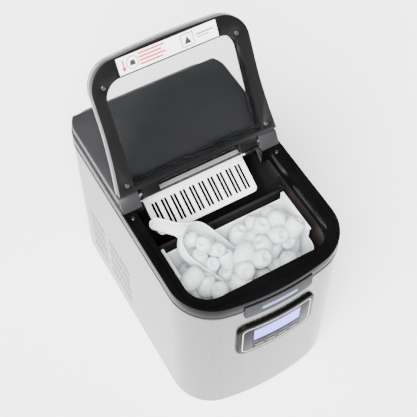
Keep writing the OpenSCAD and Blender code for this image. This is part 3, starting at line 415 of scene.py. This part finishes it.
label_paper = mottled_finish(
    "laminated_paper", "#ececec", "#f4f4f4", 12, 0.4, 0.05, {"Roughness": 0.35, "IOR": 1.5}
)
red_ink = mottled_finish(
    "red_ink", "#a80f10", "#b81616", 4, 0.3, 0.02, {"Roughness": 0.4, "IOR": 1.5}
)
grey_ink = mottled_finish(
    "grey_ink", "#1c1c1e", "#262628", 4, 0.3, 0.02, {"Roughness": 0.4, "IOR": 1.5}
)
cover("lid_label", label_paper)

hinge_line = Vector((0.0, 0.016, 0.2963))
lid_opening = (
    Matrix.Translation(hinge_line)
    @ Matrix.Rotation(math.radians(-119.3), 4, "X")
    @ Matrix.Translation(-hinge_line)
)
label_middle = Vector((0.0, -0.1605, 0.28495))


def printed_mark(name, rows, ink):
    """Flat shapes on the label as one piece. rows are outlines in millimetres from its middle,
    x to the right and y up as it is read."""
    parts = []
    for outline in rows:
        bpy.ops.mesh.primitive_circle_add(vertices=len(outline), fill_type="NGON")
        part = bpy.context.object
        for vertex, (x, y) in zip(part.data.vertices, outline):
            vertex.co = label_middle + Vector((x / 1000, -y / 1000, 0))
        parts.append(part)
    for part in parts:
        part.select_set(True)
    bpy.ops.object.join()
    mark = bpy.context.object
    mark.name = name
    bpy.ops.object.mode_set(mode="EDIT")
    bpy.ops.mesh.select_all(action="SELECT")
    bpy.ops.mesh.extrude_region_move(TRANSFORM_OT_translate={"value": (0, 0, -0.00006)})
    bpy.ops.mesh.select_all(action="SELECT")
    bpy.ops.mesh.normals_make_consistent(inside=False)
    bpy.ops.object.mode_set(mode="OBJECT")
    mark.matrix_world = lid_opening
    bpy.ops.object.transform_apply()
    mark.select_set(False)
    cover(mark, ink)
    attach(mark, "lid")
    return mark


def bar(x, y, length, height):
    """Outline of a printed bar from its left end."""
    return [(x, y), (x + length, y), (x + length, y + height), (x, y + height)]


def ring_segments(x, y, radius, width, count=28):
    """Outlines of the short straight pieces of a printed ring."""
    spots = [2 * math.pi * i / count for i in range(count + 1)]
    return [
        [
            (x + r * math.cos(a), y + r * math.sin(a))
            for r, a in ((radius, a0), (radius, a1), (radius - width, a1), (radius - width, a0))
        ]
        for a0, a1 in zip(spots, spots[1:])
    ]


arrow = [[(-62.8, 7), (-60.8, 7), (-60.8, -3), (-62.8, -3)], [(-65, -3), (-58.6, -3), (-61.8, -9)]]
red_bars = [bar(-40, 6.5 - 4.6 * i, 36 - 5 * (i % 2), 2.1) for i in range(4)]
printed_mark("label_red_print", arrow + red_bars + ring_segments(-49.5, 0, 8.4, 1.1), red_ink)
drop = [[(-53.5, -3.5), (-45.5, -3.5), (-46.5, 3.0), (-52.5, 3.0)]]
square_sign = [bar(18, -8.5, 1, 17), bar(35, -8.5, 1, 17), bar(18, -8.5, 18, 1), bar(18, 7.5, 18, 1)]
peak = [[(22, -5), (32, -5), (27, 5)]]
grey_bars = [bar(40, 1.2, 24, 1.6), bar(40, -2.4, 17, 1.2)]
printed_mark("label_grey_print", drop + square_sign + peak + grey_bars, grey_ink)


# ---------- Screws ----------
# Zinc-plated cross-head screws, turned and then pressed: four in the lid, two in the frame
# beside the hinge and four in the back.

plated_screw = mottled_finish(
    "zinc_plated_steel", "#5c5d5e", "#77787a", 3, 0.3, 0.05, {"Metallic": 1.0, "Roughness": 0.3}
)


def cross_head_screws(name, spots, radius_mm, height_mm, body, *stands_for):
    """Domed heads with a cross recess, each at a place and pointing along an axis."""
    heads = []
    for place, axis in spots:
        bpy.ops.mesh.primitive_cylinder_add(
            vertices=24, radius=radius_mm / 1000, depth=height_mm / 1000
        )
        head = bpy.context.object
        bpy.ops.object.mode_set(mode="EDIT")
        bpy.ops.mesh.select_all(action="DESELECT")
        bpy.ops.object.mode_set(mode="OBJECT")
        for face in head.data.polygons:
            face.select = face.normal.z > 0.9
        bpy.ops.object.mode_set(mode="EDIT")
        bpy.ops.mesh.bevel(offset=height_mm / 3000, segments=3)
        bpy.ops.object.mode_set(mode="OBJECT")
        recesses = []
        for turn in (0, 90):
            bpy.ops.mesh.primitive_cube_add(size=1, location=(0, 0, height_mm / 2000))
            recess = bpy.context.object
            recess.scale = (radius_mm * 1.1 / 1000, radius_mm * 0.26 / 1000, height_mm / 1000)
            recess.rotation_euler.z = math.radians(turn)
            recesses.append(recess)
            cut = head.modifiers.new("recess", "BOOLEAN")
            cut.operation = "DIFFERENCE"
            cut.solver = "EXACT"
            cut.object = recess
        bpy.context.view_layer.objects.active = head
        bpy.ops.object.select_all(action="DESELECT")
        head.select_set(True)
        for cut in list(head.modifiers):
            bpy.ops.object.modifier_apply(modifier=cut.name)
        for recess in recesses:
            bpy.data.objects.remove(recess)
        head.matrix_world = Matrix.Translation(place) @ axis.to_track_quat("Z", "Y").to_matrix().to_4x4()
        bpy.ops.object.transform_apply()
        heads.append(head)
    for head in heads:
        head.select_set(True)
    bpy.context.view_layer.objects.active = heads[0]
    if len(heads) > 1:
        bpy.ops.object.join()
    screws = bpy.context.object
    screws.name = name
    bpy.ops.object.shade_smooth_by_angle(angle=math.radians(35))
    screws.select_set(False)
    cover(screws, plated_screw)
    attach(screws, body)
    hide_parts(*stands_for)
    return screws


lid_screw_spots = [(-0.094, -0.1435), (0.094, -0.1435), (-0.1045, -0.009), (0.1045, -0.009)]
lid_face = lid_opening.to_3x3() @ Vector((0, 0, -1))
cross_head_screws(
    "lid_cross_head_screws",
    [(lid_opening @ Vector((x, y, 0.2855)), lid_face) for x, y in lid_screw_spots],
    2.9,
    1.4,
    "lid",
    "lid_screws",
)
cross_head_screws(
    "frame_cross_head_screws",
    [(Vector((x, -0.004, 0.2834)), Vector((0, 0, 1))) for x in (-0.1105, 0.1105)],
    2.9,
    1.6,
    "cabinet",
    "frame_screws",
)
cover("casing_screws", plated_screw)


# ---------- Control panel ----------
# A gloss black housing stands out from the steel, with a silver line let into its face, the
# lit display and four small keys under it.

housing = finished_copy("panel_housing", 0.8)
cover(housing, gloss_black_abs)
silver_line = mottled_finish(
    "silver_foil_line", "#c4c5c6", "#d8d8d8", 12, 1, 0.02, {"Metallic": 1.0, "Roughness": 0.25}
)
cover("panel_border", silver_line)
key_plastic = mottled_finish(
    "satin_black_key", "#111113", "#17171a", 8, 0.4, 0.08, {"Roughness": 0.35, "IOR": 1.54}
)
for key_number in range(1, 5):
    cover(f"button_{key_number}", key_plastic)
board_green = mottled_finish(
    "solder_mask", "#23603a", "#2c7046", 6, 0.5, 0.05, {"Roughness": 0.4, "IOR": 1.5}
)
cover("display_board", board_green)

# Display glass with its light behind it, lavender with a faint unevenness
display_glass = mottled_finish(
    "lit_display_glass",
    "#565cd0",
    "#6267e0",
    60,
    20,
    0.01,
    {
        "Roughness": 0.15,
        "IOR": 1.5,
        "Emission Color": linear("#6a70f0"),
        "Emission Strength": 1.5,
    },
)
cover("lcd_display", display_glass)


# ---------- Badge strip ----------
# A dark grey tongue of the frame drops over the steel. A plain insert in it glows blue.

strip_abs = mottled_finish(
    "satin_dark_grey_abs",
    "#262729",
    "#2d2e30",
    30,
    0.5,
    0.06,
    {"Roughness": 0.4, "Specular IOR Level": 0.03},
)
strip = finished_copy("badge_strip", 0.6)
cover(strip, strip_abs)
blue_lens = mottled_finish(
    "blue_light_guide",
    "#3f4668",
    "#474f78",
    10,
    1,
    0.02,
    {"Roughness": 0.25, "IOR": 1.49, "Emission Color": linear("#4a60e0"), "Emission Strength": 0.9},
)
cover("badge_light", blue_lens)


# ---------- Tank ----------
# The tank and its divider are vacuum-formed from one dark sheet plastic. Black foam wraps it.

liner_plastic = mottled_finish(
    "dark_liner_plastic", "#101011", "#161617", 40, 0.8, 0.1, {"Roughness": 0.35, "IOR": 1.52}
)
black_foam = mottled_finish(
    "closed_cell_foam", "#161616", "#1e1e1e", 5, 1.5, 0.6, {"Roughness": 0.95}
)
sensor_plastic = mottled_finish(
    "smoked_sensor_plastic", "#0d0d0f", "#121214", 10, 1, 0.02, {"Roughness": 0.15, "IOR": 1.54}
)
cover("inner_tank", liner_plastic)
cover("tank_divider", liner_plastic)
cover("tank_insulation", black_foam)
cover("ice_sensors", sensor_plastic)
cover("water_level_sensor", pin_steel)


# ---------- Ice basket ----------
# Injection-moulded polypropylene, milky white and slightly translucent.

milky_polypropylene, milky_tree, milky_output, milky_place = new_material("milky_polypropylene")
milky_cloud = add_node(
    milky_tree, "ShaderNodeTexNoise", {"Scale": 45.0, "Detail": 3.0}, {"Vector": milky_place}
)
milky_tone = add_node(
    milky_tree,
    "ShaderNodeValToRGB",
    {"stops": [(0.3, "#dfe1e1"), (0.7, "#eceded")]},
    {"Fac": milky_cloud.outputs["Fac"]},
)
milky_grain = add_node(
    milky_tree, "ShaderNodeTexNoise", {"Scale": 900.0, "Detail": 2.0}, {"Vector": milky_place}
)
milky_bump = add_node(
    milky_tree,
    "ShaderNodeBump",
    {"Strength": 0.06, "Distance": 0.0002},
    {"Height": milky_grain.outputs["Fac"]},
)
milky_shader = add_node(
    milky_tree,
    "ShaderNodeBsdfPrincipled",
    {"Roughness": 0.3, "IOR": 1.49, "Transmission Weight": 0.15, "Subsurface Weight": 0.15},
    {"Base Color": milky_tone.outputs["Color"], "Normal": milky_bump.outputs["Normal"]},
)
milky_tree.links.new(milky_shader.outputs["BSDF"], milky_output.inputs["Surface"])
basket = finished_copy("ice_basket", 0.7)
cover(basket, milky_polypropylene)


# ---------- Scoop ----------
# A scoop moulded in the same milky plastic: a deep bowl with a round back and a straight front
# lip, a flat handle, and one raised bead along the whole edge.

scoop_neck = Vector((-0.0615, -0.050, 0.279))
scoop_turn, scoop_dip = math.radians(-49), math.radians(38)
scoop_frame = (
    Matrix.Translation(scoop_neck)
    @ Matrix.Rotation(scoop_turn, 4, "Z")
    @ Matrix.Rotation(scoop_dip, 4, "Y")
)
handle_end = Vector((-0.0895, -0.0105, 0.2685))
BOWL_START, BOWL_LENGTH, BOWL_HALF_WIDTH, BOWL_DEPTH = 0.001, 0.082, 0.0275, 0.0265


def bowl_spread(u):
    """How far the bowl has opened at u, from 0 at its round back to 1."""
    return math.sqrt(max(0.0, 1 - (1 - min(1.0, u / 0.34)) ** 2))


def bowl_point(u, across):
    """A point of the bowl: u runs from the back to the lip, across from -1 to 1 over the bottom."""
    turn = across * math.pi / 2
    side = math.copysign(abs(math.sin(turn)) ** 0.7, across)
    width = BOWL_HALF_WIDTH * bowl_spread(u) * (1 - 0.10 * max(0.0, u - 0.5))
    depth = BOWL_DEPTH * bowl_spread(u) * (1 - 0.14 * max(0.0, u - 0.4))
    return Vector((BOWL_START + u * BOWL_LENGTH, side * width, -depth * abs(math.cos(turn)) ** 0.6))


bpy.ops.mesh.primitive_grid_add(x_subdivisions=28, y_subdivisions=32, size=2)
bowl = bpy.context.object
for vertex in bowl.data.vertices:
    u, across = (vertex.co.x + 1) / 2, vertex.co.y
    vertex.co = bowl_point(u ** 1.5, across)
bpy.ops.object.mode_set(mode="EDIT")
bpy.ops.mesh.select_all(action="SELECT")
bpy.ops.mesh.remove_doubles(threshold=0.0001)
bpy.ops.mesh.normals_make_consistent(inside=False)
bpy.ops.object.mode_set(mode="OBJECT")
bowl_wall = bowl.modifiers.new("wall", "SOLIDIFY")
bowl_wall.thickness = 0.0017
bowl_wall.offset = 0
bpy.ops.object.modifier_apply(modifier="wall")
bowl.matrix_world = scoop_frame
bpy.ops.object.transform_apply()

handle_length = (handle_end - scoop_neck).length
handle_turn = (handle_end - scoop_neck).to_track_quat("X", "Z")
handle_frame = Matrix.Translation(scoop_neck) @ handle_turn.to_matrix().to_4x4()
HANDLE_WIDTH, HANDLE_THICKNESS, HANDLE_DROP, HANDLE_OVERLAP = 0.0165, 0.0048, 0.0034, 0.002
bpy.ops.mesh.primitive_cube_add(size=1)
handle = bpy.context.object
handle.scale = (handle_length + HANDLE_OVERLAP, HANDLE_WIDTH, HANDLE_THICKNESS)
handle.location = ((handle_length - HANDLE_OVERLAP) / 2, 0, -HANDLE_DROP)
bpy.ops.object.transform_apply()
bpy.ops.object.mode_set(mode="EDIT")
bpy.ops.mesh.select_all(action="DESELECT")
bpy.ops.object.mode_set(mode="OBJECT")
for edge in handle.data.edges:
    ends = [handle.data.vertices[i].co for i in edge.vertices]
    edge.select = abs(ends[0].z - ends[1].z) > 0.002 and min(e.x for e in ends) > 0.02
bpy.ops.object.mode_set(mode="EDIT")
bpy.ops.mesh.bevel(offset=0.0065, segments=6)
bpy.ops.object.mode_set(mode="OBJECT")
handle_edges = handle.modifiers.new("edges", "BEVEL")
handle_edges.width = 0.0008
handle_edges.segments = 2
handle_edges.limit_method = "ANGLE"
bpy.ops.object.modifier_apply(modifier="edges")
handle.matrix_world = handle_frame
bpy.ops.object.transform_apply()


def scoop_bead():
    """The points of the raised edge, from the lip up one side, round the handle and back down."""
    side = []
    for step in range(15):
        u = 1 - step * 0.064
        if bowl_spread(u) * BOWL_HALF_WIDTH > 0.0085:
            side.append(scoop_frame @ bowl_point(u, 1.0))
    side.append(handle_frame @ Vector((0.004, -0.0082, -0.0008)))
    side.append(handle_frame @ Vector((handle_length - 0.006, -0.0080, -0.0008)))
    side.append(handle_frame @ Vector((handle_length - 0.0015, -0.0055, -0.0008)))
    other = []
    for step in range(15):
        u = 1 - step * 0.064
        if bowl_spread(u) * BOWL_HALF_WIDTH > 0.0085:
            other.append(scoop_frame @ bowl_point(u, -1.0))
    other.append(handle_frame @ Vector((0.004, 0.0082, -0.0008)))
    other.append(handle_frame @ Vector((handle_length - 0.006, 0.0080, -0.0008)))
    other.append(handle_frame @ Vector((handle_length - 0.0015, 0.0055, -0.0008)))
    return side, other


def bead_tube(name, points, radius):
    """A round bead through points, as a mesh."""
    line = bpy.data.curves.new(name, "CURVE")
    line.dimensions = "3D"
    line.bevel_depth = radius
    line.bevel_resolution = 2
    line.use_fill_caps = True
    spline = line.splines.new("NURBS")
    spline.points.add(len(points) - 1)
    for knot, point in zip(spline.points, points):
        knot.co = (*point, 1)
    spline.use_endpoint_u = True
    spline.order_u = 3
    tube = bpy.data.objects.new(name, line)
    bpy.context.scene.collection.objects.link(tube)
    bpy.ops.object.select_all(action="DESELECT")
    tube.select_set(True)
    bpy.context.view_layer.objects.active = tube
    bpy.ops.object.convert(target="MESH")
    return bpy.context.object


near_side, far_side = scoop_bead()
edge_bead = bead_tube("bead", near_side + far_side[::-1], 0.0011)
lip_bead = bead_tube(
    "lip", [scoop_frame @ bowl_point(1.0, -1 + i / 8) for i in range(17)], 0.0009
)
bpy.ops.object.select_all(action="DESELECT")
for part in (bowl, handle, edge_bead, lip_bead):
    part.select_set(True)
bpy.context.view_layer.objects.active = bowl
bpy.ops.object.join()
scoop = bpy.context.object
scoop.name = "scoop"
bpy.ops.object.shade_smooth_by_angle(angle=math.radians(40))
scoop.select_set(False)
cover(scoop, milky_polypropylene)
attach(scoop, "scoop")
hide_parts("ice_scoop")


# ---------- Ice ----------
# Bullets of ice that froze round cold fingers: blunt and cloudy, with a shallow dimple in one
# end. They lie in loose layers that fill the basket, with a few in the scoop.

cloudy_ice, ice_tree, ice_output, ice_place = new_material("cloudy_ice")
ice_cloud = add_node(
    ice_tree, "ShaderNodeTexNoise", {"Scale": 70.0, "Detail": 4.0}, {"Vector": ice_place}
)
ice_tone = add_node(
    ice_tree,
    "ShaderNodeValToRGB",
    {"stops": [(0.3, "#dfe3e5"), (0.7, "#f8f9fa")]},
    {"Fac": ice_cloud.outputs["Fac"]},
)
ice_waves = add_node(
    ice_tree, "ShaderNodeTexNoise", {"Scale": 160.0, "Detail": 2.0}, {"Vector": ice_place}
)
ice_bump = add_node(
    ice_tree,
    "ShaderNodeBump",
    {"Strength": 0.45, "Distance": 0.0015},
    {"Height": ice_waves.outputs["Fac"]},
)
ice_shader = add_node(
    ice_tree,
    "ShaderNodeBsdfPrincipled",
    {"Roughness": 0.12, "IOR": 1.31, "Transmission Weight": 0.5, "Subsurface Weight": 0.15},
    {"Base Color": ice_tone.outputs["Color"], "Normal": ice_bump.outputs["Normal"]},
)
ice_tree.links.new(ice_shader.outputs["BSDF"], ice_output.inputs["Surface"])

ICE_RADIUS, ICE_BODY_LENGTH = 0.0138, 0.024
bpy.ops.mesh.primitive_cylinder_add(vertices=14, radius=ICE_RADIUS, depth=ICE_BODY_LENGTH)
bullet = bpy.context.object
bpy.ops.object.mode_set(mode="EDIT")
bpy.ops.mesh.select_all(action="DESELECT")
bpy.ops.object.mode_set(mode="OBJECT")
for face in bullet.data.polygons:
    face.select = face.normal.z > 0.9
bpy.ops.object.mode_set(mode="EDIT")
bpy.ops.mesh.inset(thickness=0.0094)
bpy.ops.mesh.extrude_region_move(TRANSFORM_OT_translate={"value": (0, 0, -0.003)})
bpy.ops.mesh.inset(thickness=0.002)
bpy.ops.mesh.select_all(action="DESELECT")
bpy.ops.object.mode_set(mode="OBJECT")
for face in bullet.data.polygons:
    face.select = face.normal.z < -0.9
bpy.ops.object.mode_set(mode="EDIT")
bpy.ops.mesh.extrude_region_move(TRANSFORM_OT_translate={"value": (0, 0, -0.007)})
bpy.ops.transform.resize(value=(0.58, 0.58, 1))
bpy.ops.mesh.inset(thickness=0.004)
bpy.ops.object.mode_set(mode="OBJECT")
bullet_round = bullet.modifiers.new("round", "SUBSURF")
bullet_round.levels = bullet_round.render_levels = 1
bpy.ops.object.modifier_apply(modifier="round")
bpy.ops.object.shade_smooth()
bullet.select_set(False)


def ice_pieces(name, spots, body, seed, scale):
    """Copies of the bullet at the spots, each turned its own way, as one piece."""
    chance = random.Random(seed)
    copies = []
    for x, y, z in spots:
        copy = bullet.copy()
        copy.data = bullet.data.copy()
        size = scale * chance.uniform(0.92, 1.06)
        turns = [chance.uniform(0, 2 * math.pi), chance.uniform(-1.5, 1.5), chance.uniform(-0.6, 0.6)]
        copy.data.transform(
            Matrix.Translation((x, y, z))
            @ Matrix.Rotation(turns[0], 4, "Z")
            @ Matrix.Rotation(turns[1], 4, "Y")
            @ Matrix.Rotation(turns[2], 4, "X")
            @ Matrix.Diagonal((size * chance.uniform(0.9, 1.04), size, size * chance.uniform(0.9, 1.08), 1))
        )
        bpy.context.scene.collection.objects.link(copy)
        copies.append(copy)
    bpy.ops.object.select_all(action="DESELECT")
    for copy in copies:
        copy.select_set(True)
    bpy.context.view_layer.objects.active = copies[0]
    bpy.ops.object.join()
    heap = bpy.context.object
    heap.name = name
    heap.select_set(False)
    cover(heap, cloudy_ice)
    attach(heap, body)
    return heap


def in_scoop(point, margin):
    """Whether a point is inside the bowl of the scoop or within a margin of it."""
    local = scoop_frame.inverted() @ point
    return (
        -margin < local.x < BOWL_START + BOWL_LENGTH + margin * 0.5
        and abs(local.y) < BOWL_HALF_WIDTH + margin
        and -BOWL_DEPTH - margin < local.z < 0.030
    )


basket_low, basket_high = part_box("ice_basket")
chance = random.Random(11)
heap_spots = []
LAYER_HEIGHTS = (0.196, 0.2175, 0.238, 0.2535)
for layer, height in enumerate(LAYER_HEIGHTS):
    for row in range(5):
        for column in range(8):
            x = basket_low.x + 0.0185 + 0.0255 * column + (0.0128 if (row + layer) % 2 else 0)
            y = basket_low.y + 0.0175 + 0.0225 * row + (0.006 if layer % 2 else 0)
            x += chance.uniform(-0.0015, 0.0015)
            y += chance.uniform(-0.0025, 0.0025)
            z = height + chance.uniform(-0.003, 0.003)
            spot = Vector((x, y, z))
            outside = abs(x) > 0.0785 or y > basket_high.y - 0.0165 or y < basket_low.y + 0.0155
            corner = abs(x) > 0.062 and y < basket_low.y + 0.030
            if layer == 3 and (y < -0.128 or abs(x) > 0.0785):
                outside = True
            if not outside and not corner and not in_scoop(spot, 0.0125):
                heap_spots.append(spot)
ice_pieces("ice_in_basket", heap_spots, "basket", 5, 1.0)

scoop_spots = [
    scoop_frame @ Vector(spot)
    for spot in (
        (0.021, 0.002, -0.008),
        (0.041, -0.013, -0.009),
        (0.042, 0.013, -0.010),
        (0.062, -0.012, -0.008),
        (0.064, 0.013, -0.009),
        (0.052, 0.001, 0.009),
        (0.031, -0.005, 0.009),
        (0.073, 0.002, 0.005),
    )
]
ice_pieces("ice_in_scoop", scoop_spots, "scoop", 9, 0.84)
bpy.data.objects.remove(bullet)


# ---------- Ice shovel and rail ----------
# A slotted white plate swings forward and pushes each batch into the basket. Behind it a dark
# rail with a light grey strip keeps the splashes in.

white_abs = mottled_finish(
    "moulded_white_abs", "#d3d5d6", "#dcdedf", 25, 0.6, 0.05, {"Roughness": 0.3, "IOR": 1.54}
)
shovel = finished_copy("ice_shovel", 0.5)
cover(shovel, white_abs)
strip_plastic = mottled_finish(
    "light_grey_strip", "#77787a", "#838486", 20, 0.6, 0.05, {"Roughness": 0.28, "IOR": 1.5}
)
cover("splash_rail", lid_black_abs)
cover("rail_strip", strip_plastic)


# ---------- Water tray and evaporator ----------
# The tray swings up to the nickel-plated fingers and holds the water they freeze. A gear motor
# tilts it. Cold gas runs through the copper tube that carries the fingers.

tray_plastic = mottled_finish(
    "dark_food_plastic", "#121213", "#18181a", 30, 0.7, 0.06, {"Roughness": 0.35, "IOR": 1.5}
)
drawn_copper = mottled_finish(
    "drawn_copper", "#a35e3c", "#c07a52", 12, 1.5, 0.05, {"Metallic": 1.0, "Roughness": 0.32}
)
nickel_plate = mottled_finish(
    "nickel_plate", "#b9bbba", "#cccdcc", 8, 0.8, 0.04, {"Metallic": 1.0, "Roughness": 0.24}
)
zinc_casting = mottled_finish(
    "zinc_casting", "#9d9e9b", "#afb0ac", 7, 0.8, 0.15, {"Metallic": 1.0, "Roughness": 0.5}
)
cover("water_tray", tray_plastic)
cover("tray_motor", zinc_casting)
cover("motor_bracket", galvanised_sheet)
cover("evaporator_tube", drawn_copper)
cover("freezing_fingers", nickel_plate)
cover("evaporator_cover", liner_plastic)


# ---------- Cooling machinery ----------
# A black enamelled compressor on rubber grommets drives the gas through copper pipes, a finned
# condenser with a fan behind the side vents, a drier and a hot gas valve.

black_enamel = mottled_finish(
    "black_enamel", "#151516", "#1c1c1e", 18, 2, 0.1, {"Roughness": 0.28, "IOR": 1.52}
)
rolled_aluminium = mottled_finish(
    "rolled_aluminium", "#b4b6b8", "#c6c8c9", 6, 1, 0.08, {"Metallic": 1.0, "Roughness": 0.38}
)
fan_plastic = mottled_finish(
    "black_fan_plastic", "#181819", "#1f1f20", 20, 0.6, 0.1, {"Roughness": 0.45, "IOR": 1.5}
)
cover("compressor", black_enamel)
cover("compressor_grommets", moulded_rubber)
cover("condenser", rolled_aluminium)
cover("fan_shroud", fan_plastic)
cover("fan_rotor", fan_plastic)
cover("fan_motor", zinc_casting)
cover("filter_drier", drawn_copper)
cover("refrigerant_pipes", drawn_copper)
cover("hot_gas_valve", zinc_casting)


# ---------- Pump, hoses and electronics ----------
# The pump lifts water from the tank through clear silicone hoses. The circuit board sits in a
# vented plastic box on the pan.

silicone_hose = mottled_finish(
    "clear_silicone", "#c3c9cc", "#d3d8da", 12, 1.5, 0.04, {"Roughness": 0.3, "IOR": 1.41}
)
pump_plastic = mottled_finish(
    "glass_filled_nylon", "#34363a", "#3d3f43", 10, 0.5, 0.15, {"Roughness": 0.5, "IOR": 1.53}
)
impeller_plastic = mottled_finish(
    "white_acetal", "#c4c7cb", "#d0d3d6", 10, 0.6, 0.05, {"Roughness": 0.35, "IOR": 1.48}
)
cover("water_hoses", silicone_hose)
cover("water_pump", pump_plastic)
cover("pump_impeller", impeller_plastic)
cover("circuit_board", board_green)
cover("board_box", fan_plastic)
